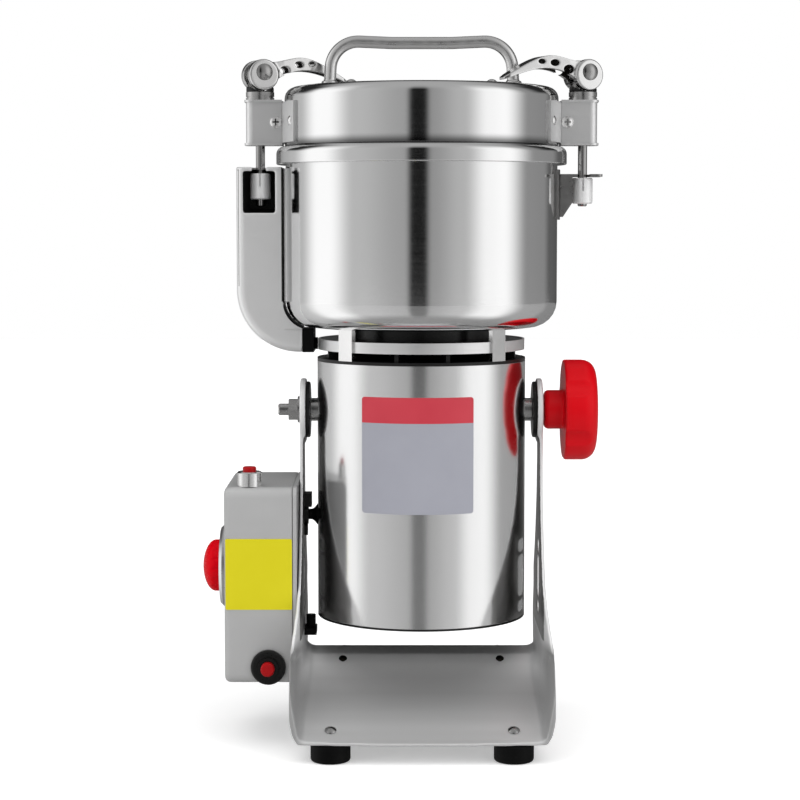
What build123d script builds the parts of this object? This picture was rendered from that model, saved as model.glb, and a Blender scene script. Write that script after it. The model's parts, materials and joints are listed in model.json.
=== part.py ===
from build123d import *
from math import atan2, cos, degrees, pi, radians, sin, sqrt
import os

# Swing-type electric grain mill: a motor barrel with a steel bowl on top, hung between the uprights of a
# pressed stand so that it tilts forward to pour. Millimetres. X runs to the right, Y away from the front and
# Z up. The origin is on the floor, below the barrel's axis.

# ---------------------------------------------------------------- driving dimensions
# Clearances
move_gap = 0.35              # between faces of pieces that move past each other
run_fit = 0.05               # radial, shaft in its bore
loose_fit = 0.5              # radial, rod through a clamp hole

# Barrel
barrel_r = 57.0
barrel_wall = 1.2
barrel_bottom_z = 67.9
barrel_top_z = 207.5

# Bowl, rim and lid
bowl_r = 74.0
bowl_wall = 1.0
bowl_corner_r = 14.0
bowl_bottom_z = 225.8
rim_r = bowl_r + 5.0
rim_z0 = 313.8
rim_z1 = 323.5
lid_r = bowl_r + 0.4
lid_wall = 1.0
lid_top_z = 355.2
lid_corner_r = 6.0
lid_crown = 1.2

# Vent section between barrel and bowl
vent_ring_r = barrel_r - 0.5
vent_ring_z0 = 213.6
vent_ring_z1 = 219.4
shield_flange_t = 1.6
post_count = 4
post_w = 10.0
post_t = 2.6
post_pitch_r = barrel_r + 0.7 - post_t / 2
boss_r = 40.0                # black boss below the bowl

# Tilt pivots
pivot_z = 180.0
trunnion_r = 6.3
friction_r = 15.4
friction_t = 2.1
stud_r = 3.2
nut_across = 11.0
nut_t = 5.0

# Stand
sheet = 2.0
ear_r = 17.3
upright_x = barrel_r + 7.4   # inner face of the upright
ear_t = 3.4                  # the ear is thicker than the sheet
ear_x = upright_x + sheet - ear_t
trunnion_end_x = ear_x - friction_t - move_gap
base_half_y = 78.0
base_bottom_z = 10.0
ridge_z = 46.5
ridge_fold_x = upright_x - 4.9          # where the ridge folds up into the upright
toe_fold_x = upright_x + 0.6           # the same fold at the front and rear edges
toe_z = 11.5
crease_z = 58.0
flare = 3.4                  # how far the corners of the side panels flare out
flat_half = 41.0             # the side panels and uprights are flat this far from the middle
tuck = 4.4                   # how far the side panels curl in at their lower corners
tuck_h = 13.0
bow = 2.6                    # how far the front and rear edges bow outwards
window_w = 18.0
foot_r = 10.6
foot_x = upright_x - 16.1
foot_y = 65.5
ridge_screw_x = 43.0
ridge_screw_y = 15.5
foot_screw_r = 3.4
ridge_screw_r = 2.4

# Clamps
rod_x = bowl_r + 13.8
rod_r = 2.5
pin_z = 363.6
pin_r = 2.5
hub_r = 8.4
cam_offset = 1.4
cam_gap = 0.6
lever_w = 16.0
lever_reach = 50.0
eye_t = 6.0
left_yaw = 22.0
right_yaw = 25.0
box_z0 = rim_z1 + 0.7
box_z1 = box_z0 + 24.4
box_out_x = rod_x + 8.2
box_half_y = 8.6
hook_z1 = 308.6
hook_t = 1.3
nut_top_gap = 0.6
rod_nut_r = 5.6
rod_nut_h = 14.0
rod_end_z = 291.3

# Handle
handle_bar_r = 3.3
handle_half = bowl_r - 24.0
handle_lean = 1.4
handle_z = 381.0
handle_dip = 1.4
handle_corner_r = 15.0

# Switch casing at the left
casing_out_x = rod_x + 12.6
casing_in_x = bowl_r + 1.0
casing_top_z = 312.4
casing_bottom_z = 212.2
casing_end_x = barrel_r + 7.7
casing_front_y = -13.0
casing_back_y = 17.0
casing_wall = 1.5
casing_round = 4.5
mouth_z = casing_bottom_z + 11.8
switch_z = casing_top_z - 11.4

# Control box
cbox_x1 = -(upright_x + sheet + 0.6)
cbox_x0 = cbox_x1 - 39.0
cbox_y0 = -40.0
cbox_y1 = 39.0
cbox_z0 = 35.3
cbox_z1 = 141.4
cbox_wall = 2.0
cbox_round = 5.0
timer_z = 93.5
timer_disc_r = 22.5
timer_disc_t = 4.4
timer_knob_r = 14.2
timer_knob_x = cbox_x0 - 14.4
reset_x = cbox_x1 - 15.4
reset_z = 44.6
power_x = cbox_x1 - 25.6
power_y = -30.5
gland_x = cbox_x1 - 19.0
gland_z = 52.0

# Lock knob
knob_r = 27.7
knob_x0 = upright_x + 13.4
knob_x1 = knob_x0 + 17.8
knob_hub_r = 10.7
knob_hub_x0 = upright_x + sheet + 0.9
knob_lobes = 6

# Motor and mill works
shaft_r = 6.0
stator_r = barrel_r - 9.0
armature_r = 26.0
air_gap = 0.6
lower_journal_r = 4.0
upper_journal_r = 7.5
upper_bearing_r = 17.5
commutator_r = 14.0
brush_z = 84.0
lead_r = 2.9
lead_z = 122.0
blade_reach = bowl_r - 10.0
blade_w = 17.0
blade_t = 2.2
seal_r = 15.0
mill_z = 212.0               # top of the upper journal
nut_seat_z = mill_z + 40.0


# ---------------------------------------------------------------- small shapes
def cyl_z(r, z0, z1, x=0.0, y=0.0):
    return Pos(x, y, (z0 + z1) / 2) * Cylinder(r, z1 - z0)


def cyl_x(r, x0, x1, y=0.0, z=0.0):
    return Pos((x0 + x1) / 2, y, z) * Rot(0, 90, 0) * Cylinder(r, abs(x1 - x0))


def cyl_y(r, y0, y1, x=0.0, z=0.0):
    return Pos(x, (y0 + y1) / 2, z) * Rot(90, 0, 0) * Cylinder(r, abs(y1 - y0))


def block(x0, x1, y0, y1, z0, z1):
    return Pos((x0 + x1) / 2, (y0 + y1) / 2, (z0 + z1) / 2) * Box(abs(x1 - x0), abs(y1 - y0), abs(z1 - z0))


def ring_z(r_out, r_in, z0, z1, x=0.0, y=0.0):
    return cyl_z(r_out, z0, z1, x, y) - cyl_z(r_in, z0 - 1, z1 + 1, x, y)


def ring_x(r_out, r_in, x0, x1, y=0.0, z=0.0):
    return cyl_x(r_out, x0, x1, y, z) - cyl_x(r_in, min(x0, x1) - 1, max(x0, x1) + 1, y, z)


def lathe(*edges):
    """Revolves a closed outline of (radius, height) edges about Z."""
    outline = Plane.XZ * make_face(Curve() + list(edges))
    return revolve(outline, axis=Axis.Z)


def lathe_points(*points):
    return revolve(Plane.XZ * make_face(Polyline(*points, close=True)), axis=Axis.Z)


def hex_x(across, x0, x1, y, z):
    prism = extrude(Plane.YZ.offset(x0) * RegularPolygon(across / 2, 6, major_radius=False), x1 - x0)
    return Pos(0, y, z) * prism


def hex_z(across, z0, z1, x=0.0, y=0.0):
    return Pos(x, y, z0) * extrude(RegularPolygon(across / 2, 6, major_radius=False), z1 - z0)


def pan_head(r, h):
    """A domed screw or rivet head on z = 0, pointing up."""
    dome_r = (r * r + h * h) / (2 * h)
    return (Pos(0, 0, h - dome_r) * Sphere(dome_r)) & cyl_z(r, 0, h + 1)


def around_z(shape, count, start=0.0):
    return [Rot(0, 0, start + i * 360.0 / count) * shape for i in range(count)]


def save(name, *shapes):
    solids = []
    for shape in shapes:
        solids += list(shape.solids())
    export_step(solids[0] if len(solids) == 1 else Compound(children=solids), f"parts/{name}.step")


def smooth(t):
    """A soft step from 0 to 1."""
    t = min(max(t, 0.0), 1.0)
    return t * t * (3 - 2 * t)


# ---------------------------------------------------------------- stand
neck_z = pivot_z - 30.0
base_folds = (12.0, 27.0, 42.0, 54.0, 66.0, 74.0, base_half_y)
toe_height = crease_z - base_bottom_z


def apron_z(y):
    """Height of the web: flat ridge, then a concave slope down to the toe."""
    t = min(max((abs(y) - 12.0) / (base_half_y - 12.0), 0.0), 1.0)
    return toe_z + (ridge_z - toe_z) * (1 - t) ** 1.25


def web_z(y):
    """Height of the web as pressed: straight between its folds."""
    for near, far in zip(base_folds, base_folds[1:]):
        if near <= abs(y) <= far:
            t = (abs(y) - near) / (far - near)
            return apron_z(near) + (apron_z(far) - apron_z(near)) * t
    return ridge_z


def fold_x(y):
    return ridge_fold_x + (toe_fold_x - ridge_fold_x) * abs(y) / base_half_y


def side_x(y):
    """Outer face of the side panel, which flares out near the front and rear."""
    return upright_x + sheet + flare * smooth((abs(y) - 42.0) / 24.0)


def side_top_z(y):
    """Upper edge of the side panel: the crease, then the rounded front and rear corners."""
    crease = ridge_z + 2.0 + (crease_z - ridge_z - 2.0) * abs(y) / 66.0
    past = max(abs(y) - 66.0, 0.0) / (base_half_y - 66.0)
    return crease - (crease_z - toe_z - 1.0) * past ** 2.2


def base_section(y, inset):
    """Cross-section of the base at y, outside (inset 0) or of the hollow below it."""
    side = side_x(y) - inset
    fold = fold_x(y) - inset * 0.6
    web = apron_z(y) - inset
    low = base_bottom_z - inset
    curl = tuck * smooth((abs(y) - 34.0) / 32.0)
    if inset:
        half = [(side - curl, low), (fold, web)]
    else:
        top = side_top_z(y)
        rise = min(tuck_h, top - low - 0.4)
        half = [(side - curl, low), (side - curl * 0.36, low + rise * 0.4), (side, low + rise), (side, top),
                (fold, web)]
    left = [(-x, z) for x, z in half]
    return Plane.XZ.offset(-y) * make_face(Polyline(*left, *reversed(half), close=True))


def bowed(inset):
    """Plan form of the base: its front and rear edges bow outwards."""
    reach = (toe_fold_x ** 2 + bow ** 2) / (2 * bow)
    centre = base_half_y - reach
    front = cyl_z(reach - inset, 0, crease_z + 20, 0, -centre)
    return front & mirror(front, Plane.XZ)


def make_base():
    stations = [-y for y in reversed(base_folds)] + list(base_folds)
    outside = loft([base_section(y, 0) for y in stations], ruled=True) & bowed(0)
    inner = [y * (base_half_y - sheet) / base_half_y for y in stations]
    hollow = loft([base_section(y, sheet) for y in inner], ruled=True) & bowed(sheet)
    return outside - hollow


def upright_half(z):
    """Half depth of the upright at height z: broad at the base, concave up to the neck."""
    t = max(z - crease_z, 0.0) / (neck_z - crease_z)
    return 11.5 + (66.0 - 11.5) * max(1 - t, 0.0) ** 1.75


def upright_section(z):
    half = upright_half(z)
    flat = min(flat_half, half * 0.72)
    out = flare * (max(half - flat_half, 0.0) / (66.0 - flat_half)) ** 1.2
    inner = upright_x
    outer = upright_x + sheet
    outline = Polyline((outer + out, -half), (outer, -flat), (outer, flat), (outer + out, half),
                       (inner + out, half), (inner, flat), (inner, -flat), (inner + out, -half), close=True)
    return Plane.XY.offset(z) * make_face(outline)


def make_upright():
    """Right-hand upright with its ear, bore and windows."""
    heights = [crease_z - 1.5, 66.0, 76.0, 88.0, 102.0, 118.0, 134.0, neck_z + 2.0]
    plate = loft([upright_section(z) for z in heights], ruled=True)
    foot = loft([Plane.XY.offset(z) * make_face(Polyline(
        (upright_x + sheet, -h), (upright_x + sheet, h), (upright_x, h), (upright_x, -h), close=True))
        for z, h in ((ridge_z - 1.0, 40.0), (crease_z, 41.0))], ruled=True)
    ear = cyl_x(ear_r, ear_x, upright_x + sheet, 0, pivot_z)
    neck = block(upright_x, upright_x + sheet, -11.5, 11.5, neck_z, pivot_z)
    plate = plate + foot + ear + neck
    for z0, z1 in ((101.5, 107.5), (76.5, 98.5), (68.0, 73.5)):
        window = block(upright_x - 1, upright_x + sheet + 1, -window_w / 2, window_w / 2, z0, z1)
        plate -= fillet(window.edges().filter_by(Axis.X), 2.4)
    return plate - cyl_x(stud_r + run_fit, ear_x - 1, upright_x + sheet + 1, 0, pivot_z)


def make_stand():
    base = make_base()
    right = make_upright()
    stand = base + right + mirror(right, Plane.YZ)
    for x in (-foot_x, foot_x):
        for y in (-foot_y, foot_y):
            stand += ring_z(5.5, 2.0, base_bottom_z, web_z(abs(y) + 5.5) - 0.3, x, y)
            stand -= cyl_z(2.0, base_bottom_z - 1, apron_z(y) + 6, x, y)
    for x in (-ridge_screw_x, ridge_screw_x):
        for y in (-ridge_screw_y, ridge_screw_y):
            stand -= cyl_z(1.6, ridge_z - 12, ridge_z + 6, x, y)
    return stand - cyl_x(lead_r + loose_fit, -70, -60, 0, lead_z)


def make_feet():
    feet = []
    for x in (-foot_x, foot_x):
        for y in (-foot_y, foot_y):
            foot = cyl_z(foot_r, 0, base_bottom_z, x, y)
            foot = chamfer(foot.edges().group_by(Axis.Z)[0], 0.8)
            feet.append(foot - cyl_z(4.2, -1, 3.5, x, y) - cyl_z(2.0, -1, base_bottom_z + 1, x, y))
    return feet


def head_on_web(x, y, r, h):
    """A screw head that lies on the sloping web at (x, y), and the height of its seat."""
    high = web_z(abs(y) - r)
    low = web_z(abs(y) + r)
    seat = (high + low) / 2 + 0.03
    lean = degrees(atan2(high - low, 2 * r)) * (1 if y < 0 else -1)
    return seat, Pos(x, y, seat) * Rot(lean, 0, 0) * pan_head(r, h)


def make_base_screws():
    screws = []
    for x in (-foot_x, foot_x):
        for y in (-foot_y, foot_y):
            top, head = head_on_web(x, y, foot_screw_r, 1.6)
            screws.append(cyl_z(2.0, 3.5, top, x, y) + head + cyl_z(3.6, 1.2, 3.5, x, y))
    for x in (-ridge_screw_x, ridge_screw_x):
        for y in (-ridge_screw_y, ridge_screw_y):
            top, head = head_on_web(x, y, ridge_screw_r, 1.3)
            screws.append(cyl_z(1.6, top - 6, top, x, y) + head)
    return screws


def make_tilt_stop():
    """Rubber pad with a stud on the left upright, below the barrel's edge."""
    inner = -upright_x
    low = barrel_bottom_z - 12.3
    pad = block(inner, inner + 6.6, -7, 7, low, low + 3.8)
    stud = cyl_z(2.6, low + 3.8, barrel_bottom_z - 1.9, inner + 3.4, 0)
    return pad + stud


# ---------------------------------------------------------------- tilt pivots
def make_friction_washers():
    washer = ring_x(friction_r, stud_r + run_fit, ear_x - friction_t, ear_x, 0, pivot_z)
    washer = chamfer(washer.edges().group_by(Axis.X)[0], 0.5)
    return [washer, mirror(washer, Plane.YZ)]


def make_trunnions():
    """Bosses on the barrel wall, each with a threaded bore."""
    bores = []
    for side in (-1, 1):
        root = side * (barrel_r - barrel_wall - 5.0)
        boss = cyl_x(trunnion_r, min(root, side * trunnion_end_x), max(root, side * trunnion_end_x), 0, pivot_z)
        flange = cyl_x(11.0, min(root, root + side * 2), max(root, root + side * 2), 0, pivot_z)
        bore = cyl_x(stud_r, side * (barrel_r - 8), side * (trunnion_end_x + 1), 0, pivot_z)
        bores.append(boss + flange - bore)
    return bores


def make_pivot_stud():
    """Left stud, fixed in the barrel and turning in the upright's ear."""
    face_x = -(upright_x + sheet + move_gap)
    nut_x = face_x - 1.1
    stud = cyl_x(stud_r, -78.6, -(barrel_r - 7.0), 0, pivot_z)
    stud = chamfer(stud.edges().group_by(Axis.X)[0], 0.6)
    washer = ring_x(7.2, stud_r, nut_x, face_x, 0, pivot_z)
    nut = hex_x(nut_across, nut_x - nut_t, nut_x, 0, pivot_z)
    nut -= cyl_x(stud_r, nut_x - nut_t - 1, nut_x + 1, 0, pivot_z)
    return [stud, nut, washer]


def make_lock_knob():
    """Lobed cup knob on a round hub, opening outwards and turning on its stud."""
    mid = (knob_x0 + knob_x1) / 2
    cup = cyl_x(knob_r, knob_x0, knob_x1, 0, 0)
    cup = fillet(cup.edges().group_by(Axis.X)[-1], 8.0)
    cup = fillet(cup.edges().group_by(Axis.X)[0], 1.2)
    for i in range(knob_lobes):
        angle = (i + 0.5) * 2 * pi / knob_lobes
        reach = knob_r + 11.0
        cup -= cyl_x(12.4, knob_x0 - 1, knob_x1 + 1, reach * cos(angle), reach * sin(angle))
    cup -= cyl_x(knob_r - 10.5, mid + 2.0, knob_x1 + 1)
    hub = cyl_x(knob_hub_r, knob_hub_x0, knob_x0 + 3, 0, 0)
    hub = fillet(hub.edges().group_by(Axis.X)[0], 2.5)
    cap = cyl_x(8.0, mid - 1, mid + 5.0)
    cap = fillet(cap.edges().group_by(Axis.X)[-1], 1.2)
    knob = cup + hub + cap
    knob -= cyl_x(stud_r + run_fit, knob_hub_x0 - 1, knob_hub_x0 + 14.0 + move_gap)
    return Pos(0, 0, pivot_z) * knob


def make_lock_stud():
    """Right stud, fixed in the barrel; the knob turns on it outside the upright's ear."""
    return cyl_x(stud_r, barrel_r - 7.0, knob_hub_x0 + 14.0, 0, pivot_z)


# ---------------------------------------------------------------- barrel and motor
def make_barrel_shell():
    shell = ring_z(barrel_r, barrel_r - barrel_wall, barrel_bottom_z, barrel_top_z)
    for side in (-1, 1):
        shell -= cyl_x(trunnion_r, min(side * 40, side * 70), max(side * 40, side * 70), 0, pivot_z)
    return shell - cyl_x(lead_r, -70, -40, 0, lead_z)


def make_barrel_bottom():
    """Black bottom cap with a lip round the shell's edge and rings of cooling slots."""
    r_in = barrel_r - barrel_wall
    cap = cyl_z(r_in, barrel_bottom_z + 0.6, barrel_bottom_z + 3.2)
    cap += ring_z(barrel_r, r_in - 4.0, barrel_bottom_z - 1.0, barrel_bottom_z)
    cap += ring_z(r_in, r_in - 4.0, barrel_bottom_z - 0.5, barrel_bottom_z + 8.0)
    for pitch_r, count, length in ((22.0, 8, 9.0), (36.0, 14, 10.0)):
        slot = extrude(Plane.XY.offset(barrel_bottom_z - 2) * SlotOverall(length, 3.2), 8)
        for cut in around_z(Pos(pitch_r, 0, 0) * slot, count):
            cap -= cut
    return cap


def make_stator():
    core = ring_z(stator_r, armature_r + air_gap, 104, 156)
    for side in (-1, 1):
        core -= extrude(Pos(0, side * 37.0, 100) * Rectangle(44, 10), 60)
    lug = block(stator_r - 2, barrel_r, -5, 5, 104, 156)
    for part in around_z(lug, 4, 45):
        core += part
    return core & cyl_z(barrel_r - barrel_wall, 100, 160)


def make_field_coils():
    """Two field coils, each a racetrack that stands out of the stator at both ends."""
    coils = []
    for side in (-1, 1):
        outer = block(-21.5, 21.5, side * 32.5, side * 41.5, 94, 166)
        outer = fillet(outer.edges().filter_by(Axis.Y), 7)
        inner = block(-14, 14, side * 31, side * 43, 103.9, 156.1)
        coils.append(outer - inner)
    return coils


def make_lower_bracket():
    z = barrel_bottom_z
    r = barrel_r - barrel_wall
    spider = ring_z(16, 11, z + 6, z + 14.5) + ring_z(r, r - 5, z + 9, z + 13)
    for arm in around_z(block(14, r - 3, -4, 4, z + 9, z + 13), 4, 45):
        spider += arm
    for side in (-1, 1):
        spider += block(*sorted((side * (r - 4.8), side * (r - 1.4))), -6, 6, z + 12.5, brush_z)
    return spider - cyl_z(11, z + 5, z + 16)


def make_upper_bracket():
    """Black end shield: flange on the barrel, bearing hub, radial ribs and the round top plate."""
    z0 = barrel_top_z
    r_in = barrel_r - barrel_wall
    shield = lathe_points((upper_bearing_r, 198), (24, 198), (24, z0 - 5), (r_in, z0 - 5), (r_in, z0),
                          (barrel_r, z0), (barrel_r, z0 + shield_flange_t), (28, z0 + shield_flange_t),
                          (24, vent_ring_z1 - 2), (vent_ring_r - 1.2, vent_ring_z1 - 2),
                          (vent_ring_r - 1.2, vent_ring_z1), (boss_r, vent_ring_z1), (boss_r, bowl_bottom_z),
                          (seal_r, bowl_bottom_z), (seal_r, vent_ring_z1), (shaft_r + 2.5, vent_ring_z1),
                          (shaft_r + 2.5, 211), (upper_bearing_r, 211))
    rib = block(25, vent_ring_r - 4.0, -1.1, 1.1, z0 + 1, vent_ring_z1 - 1)
    for r in around_z(rib, 12, 15):
        shield += r
    for post in make_posts():
        shield -= post
    return shield


def make_posts():
    post = block(post_pitch_r - post_t / 2, post_pitch_r + post_t / 2, -post_w / 2, post_w / 2,
                 barrel_top_z + shield_flange_t, bowl_bottom_z)
    return around_z(post, post_count, 45)


def make_vent_ring():
    ring = ring_z(vent_ring_r, vent_ring_r - 1.2, vent_ring_z0, vent_ring_z1)
    for post in make_posts():
        ring -= post
    return ring


def make_bearings():
    z = barrel_bottom_z
    lower = ring_z(11, lower_journal_r + run_fit, z + 7, z + 13.5)
    upper = ring_z(upper_bearing_r, upper_journal_r + run_fit, 199, 210)
    groove_lower = ring_z(9, 6, z + 12.7, z + 14)
    groove_upper = ring_z(15, 10, 209, 211)
    return [lower - groove_lower, upper - groove_upper]


def make_brush_gear():
    """Brush tubes with their carbon brushes, either side of the commutator."""
    holders = []
    brushes = []
    tip = commutator_r + move_gap
    for side in (-1, 1):
        end = barrel_r - 13.0
        z = brush_z
        tube = block(*sorted((side * (tip + 2.0), side * end)), -6, 6, z, z + 10)
        hollow = block(side * tip, side * (end - 2.0), -4, 4, z + 1.5, z + 8.5)
        foot = block(*sorted((side * end, side * (end + 10.0))), -6, 6, z, z + 3)
        holders.append(tube + foot - hollow)
        brushes.append(block(*sorted((side * tip, side * (tip + 20.0))), -4, 4, z + 1.5, z + 8.5))
    return holders, brushes


# ---------------------------------------------------------------- rotor
def make_shaft():
    z = barrel_bottom_z
    shaft = cyl_z(lower_journal_r, z + 4.5, z + 15) + cyl_z(shaft_r, z + 15, 197)
    shaft += cyl_z(upper_journal_r, 197, mill_z) + cyl_z(shaft_r, mill_z, nut_seat_z)
    return shaft + cyl_z(4.5, nut_seat_z, nut_seat_z + 10)


def make_armature():
    core = ring_z(armature_r, shaft_r, 105, 155)
    slot = block(armature_r - 6, armature_r + 1, -1.4, 1.4, 104, 156)
    for cut in around_z(slot, 12):
        core -= cut
    for z0, z1 in ((97, 105), (155, 163)):
        winding = ring_z(armature_r - 2, shaft_r, z0, z1)
        core += winding
    return core


def make_commutator():
    drum = ring_z(commutator_r, shaft_r, 83, 96.5)
    for cut in around_z(block(commutator_r - 0.8, commutator_r + 1, -0.4, 0.4, 82, 95), 12):
        drum -= cut
    return drum


def make_fan():
    """Radial cooling fan: a disc with curved blades on a hub."""
    r = barrel_r - 12.0
    fan = ring_z(12, shaft_r, 168, 190) + ring_z(r, shaft_r, 168, 170)
    blade_arc = RadiusArc((11, 0), (r, 9), 45)
    blade = extrude(trace(blade_arc, 1.6), 15)
    for b in around_z(Pos(0, 0, 169) * blade, 10):
        fan += b
    return fan & cyl_z(r, 160, 195)


def blade_bar(z, bend, turn):
    """One mill blade: a tapered bar with ground edges, its tips bent by an angle."""
    half = blade_w / 2
    root = 20.0
    flat = Polyline((-root, half), (root, half), (root, -half), (-root, -half), close=True)
    bar = extrude(make_face(flat), blade_t)
    tip_len = blade_reach - root
    tip_face = Polyline((-1.5, half), (0, half), (tip_len * 0.8, half * 0.8), (tip_len, half * 0.1),
                        (tip_len * 0.9, -half * 0.7), (0, -half), (-1.5, -half), close=True)
    tip = extrude(make_face(tip_face), blade_t)
    edge = Pos(0, half, blade_t) * Rot(45, 0, -5) * Box(3 * blade_reach, 2.4, 2.4)
    tip -= edge
    bent = Pos(root, 0, 0) * Rot(0, -bend, 0) * tip
    bar = bar + bent + Rot(0, 0, 180) * bent
    bar -= cyl_z(shaft_r, -5, 5)
    return Pos(0, 0, z) * Rot(0, 0, turn) * bar


def make_blades():
    return [blade_bar(233.0, 0, 20), blade_bar(240.2, 16, 80), blade_bar(247.4, -8, 140)]


def make_blade_hub():
    """Spacer sleeves between the blades and the nut that clamps them."""
    sleeves = [ring_z(11, shaft_r, z0, z1) for z0, z1 in ((228.6, 233.0), (235.2, 240.2), (242.4, 247.4))]
    nut = hex_z(17, nut_seat_z, nut_seat_z + 7.5) - cyl_z(4.5, nut_seat_z - 1, nut_seat_z + 8)
    washer = ring_z(11, shaft_r, nut_seat_z - 2.4, nut_seat_z)
    return sleeves + [washer, nut]


# ---------------------------------------------------------------- bowl and lid
def make_bowl():
    r, w, c = bowl_r, bowl_wall, bowl_corner_r
    z0, z1 = bowl_bottom_z, rim_z1 - 1.2
    hole_r = seal_r - 5.0
    shell = lathe(
        Line((hole_r, z0), (r - c, z0)),
        RadiusArc((r - c, z0), (r, z0 + c), -c),
        Line((r, z0 + c), (r, z1)),
        Line((r, z1), (r - w, z1)),
        Line((r - w, z1), (r - w, z0 + c)),
        RadiusArc((r - w, z0 + c), (r - c, z0 + w), c - w),
        Line((r - c, z0 + w), (hole_r, z0 + w)),
        Line((hole_r, z0 + w), (hole_r, z0)),
    )
    return shell


def make_bowl_rim():
    """Rolled steel ring round the mouth, with a rounded shoulder."""
    r = 4.0
    inner = bowl_r
    return lathe(
        Line((inner, rim_z0), (rim_r, rim_z0)),
        Line((rim_r, rim_z0), (rim_r, rim_z1 - r)),
        RadiusArc((rim_r, rim_z1 - r), (rim_r - r, rim_z1), -r),
        Line((rim_r - r, rim_z1), (bowl_r - 3.0, rim_z1)),
        Line((bowl_r - 3.0, rim_z1), (bowl_r - 3.0, rim_z1 - 1.2)),
        Line((bowl_r - 3.0, rim_z1 - 1.2), (inner, rim_z1 - 1.2)),
        Line((inner, rim_z1 - 1.2), (inner, rim_z0)),
    )


def make_shaft_seal():
    inner = shaft_r + move_gap
    top = bowl_bottom_z + bowl_wall
    return lathe_points((inner, vent_ring_z1), (seal_r, vent_ring_z1), (seal_r, bowl_bottom_z),
                        (seal_r - 5, bowl_bottom_z), (seal_r - 5, top), (seal_r - 2, top),
                        (seal_r - 3, top + 1.4), (inner, top + 1.4))


def lid_core(inset, low):
    """The lid's rounded and crowned form, set in from its outside, down to the height low."""
    r, c = lid_r - inset, lid_corner_r - inset
    top = lid_top_z - inset
    crown = top + lid_crown
    flat_r = r - c
    dome_r = (flat_r ** 2 + lid_crown ** 2) / (2 * lid_crown)
    mid = (flat_r / 2, crown - dome_r + sqrt(dome_r ** 2 - flat_r ** 2 / 4))
    return lathe(
        Line((0, low), (r, low)),
        Line((r, low), (r, top - c)),
        RadiusArc((r, top - c), (flat_r, top), -c),
        ThreePointArc((flat_r, top), mid, (0, crown)),
        Line((0, crown), (0, low)),
    )


def make_lid():
    return lid_core(0, rim_z1) - lid_core(lid_wall, rim_z1 - 5)


def make_lid_gasket():
    """Soft ring inside the lid's edge, reaching down into the bowl's mouth."""
    seat = lid_r - lid_wall
    mouth = bowl_r - 3.0 - 0.2
    return lathe_points((mouth, 317.5), (mouth, rim_z1), (seat, rim_z1), (seat, rim_z1 + 4),
                        (mouth - 3.5, rim_z1 + 4), (mouth - 3.5, 319.5), (mouth - 1.5, 317.5))


def lid_height(x):
    return lid_top_z + lid_crown * (1 - (abs(x) / (lid_r - lid_corner_r)) ** 2)


def make_handle():
    """Bent bar with two foot plates riveted to the lid."""
    foot_z = lid_height(handle_half)
    top = handle_half - handle_lean
    dip_z = handle_z - handle_dip
    path = FilletPolyline((-handle_half, 0, foot_z), (-top, 0, handle_z), (-top / 3, 0, dip_z), (top / 3, 0, dip_z),
                          (top, 0, handle_z), (handle_half, 0, foot_z),
                          radius=[handle_corner_r, 60, 60, handle_corner_r])
    bar = sweep(Plane(origin=path @ 0, z_dir=path % 0) * Circle(handle_bar_r), path=path)
    handle = bar
    for side in (-1, 1):
        plate = extrude(Pos(side * (handle_half - 5), 0, foot_z - 0.2) * SlotOverall(26, 12), 1.9)
        collar = cyl_z(4.4, foot_z, foot_z + 3.4, side * handle_half)
        rivet = Pos(side * (handle_half - 11.8), 0, foot_z + 1.6) * pan_head(3.6, 2.9)
        handle += plate + collar + rivet
    return handle - lid_core(0, rim_z1)


# ---------------------------------------------------------------- clamps
strap_r = lid_r + 1.5
strap_angle = 26.0
box_in_x = strap_r - 0.9
washer_r = 7.7
washer_h = 4.4
saddle_bottom_z = box_z1 + washer_h / 2
trough_z = pin_z - hub_r - cam_offset - cam_gap
trough_r = 11.0
right_nut_z = hook_z1 - hook_t - nut_top_gap
left_nut_z = casing_top_z - casing_wall - 3 * nut_top_gap


def sector(angle, r, z0, z1):
    """A wedge about +X, half angle given, for cutting bands."""
    reach = r * 1.5
    a = radians(angle)
    face = make_face(Polyline((0, 0), (reach * cos(a), -reach * sin(a)), (reach * 1.4, 0),
                              (reach * cos(a), reach * sin(a)), close=True))
    return Pos(0, 0, z0) * extrude(face, z1 - z0)


def make_strap():
    band = ring_z(strap_r, lid_r, box_z0 + 1.2, box_z1 - 1.6)
    return band & sector(strap_angle, strap_r, box_z0, box_z1)


def make_clamp_box():
    """Folded box that guides the rod: two cheeks, a rounded fold outside and thin lips top and bottom."""
    body = block(box_in_x, box_out_x - 0.8, -box_half_y, box_half_y, box_z0 + 0.8, box_z1 - 0.8)
    body = fillet(body.edges().filter_by(Axis.Z).group_by(Axis.X)[-1], 4.0)
    lips = []
    for z0 in (box_z0, box_z1 - 1.2):
        lip = block(box_in_x, box_out_x, -box_half_y - 0.8, box_half_y + 0.8, z0, z0 + 1.2)
        lips.append(fillet(lip.edges().filter_by(Axis.Z).group_by(Axis.X)[-1], 4.4))
    inside = block(box_in_x - 1, box_out_x - 2.8, -box_half_y + 1.6, box_half_y - 1.6, box_z0 + 1.2, box_z1 - 1.2)
    box = body + lips[0] + lips[1] - inside
    box -= cyl_z(rod_r + loose_fit, box_z0 - 1, box_z1 + 1, rod_x)
    return box - cyl_z(strap_r + 0.1, box_z0 - 1, box_z1 + 1)


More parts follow.
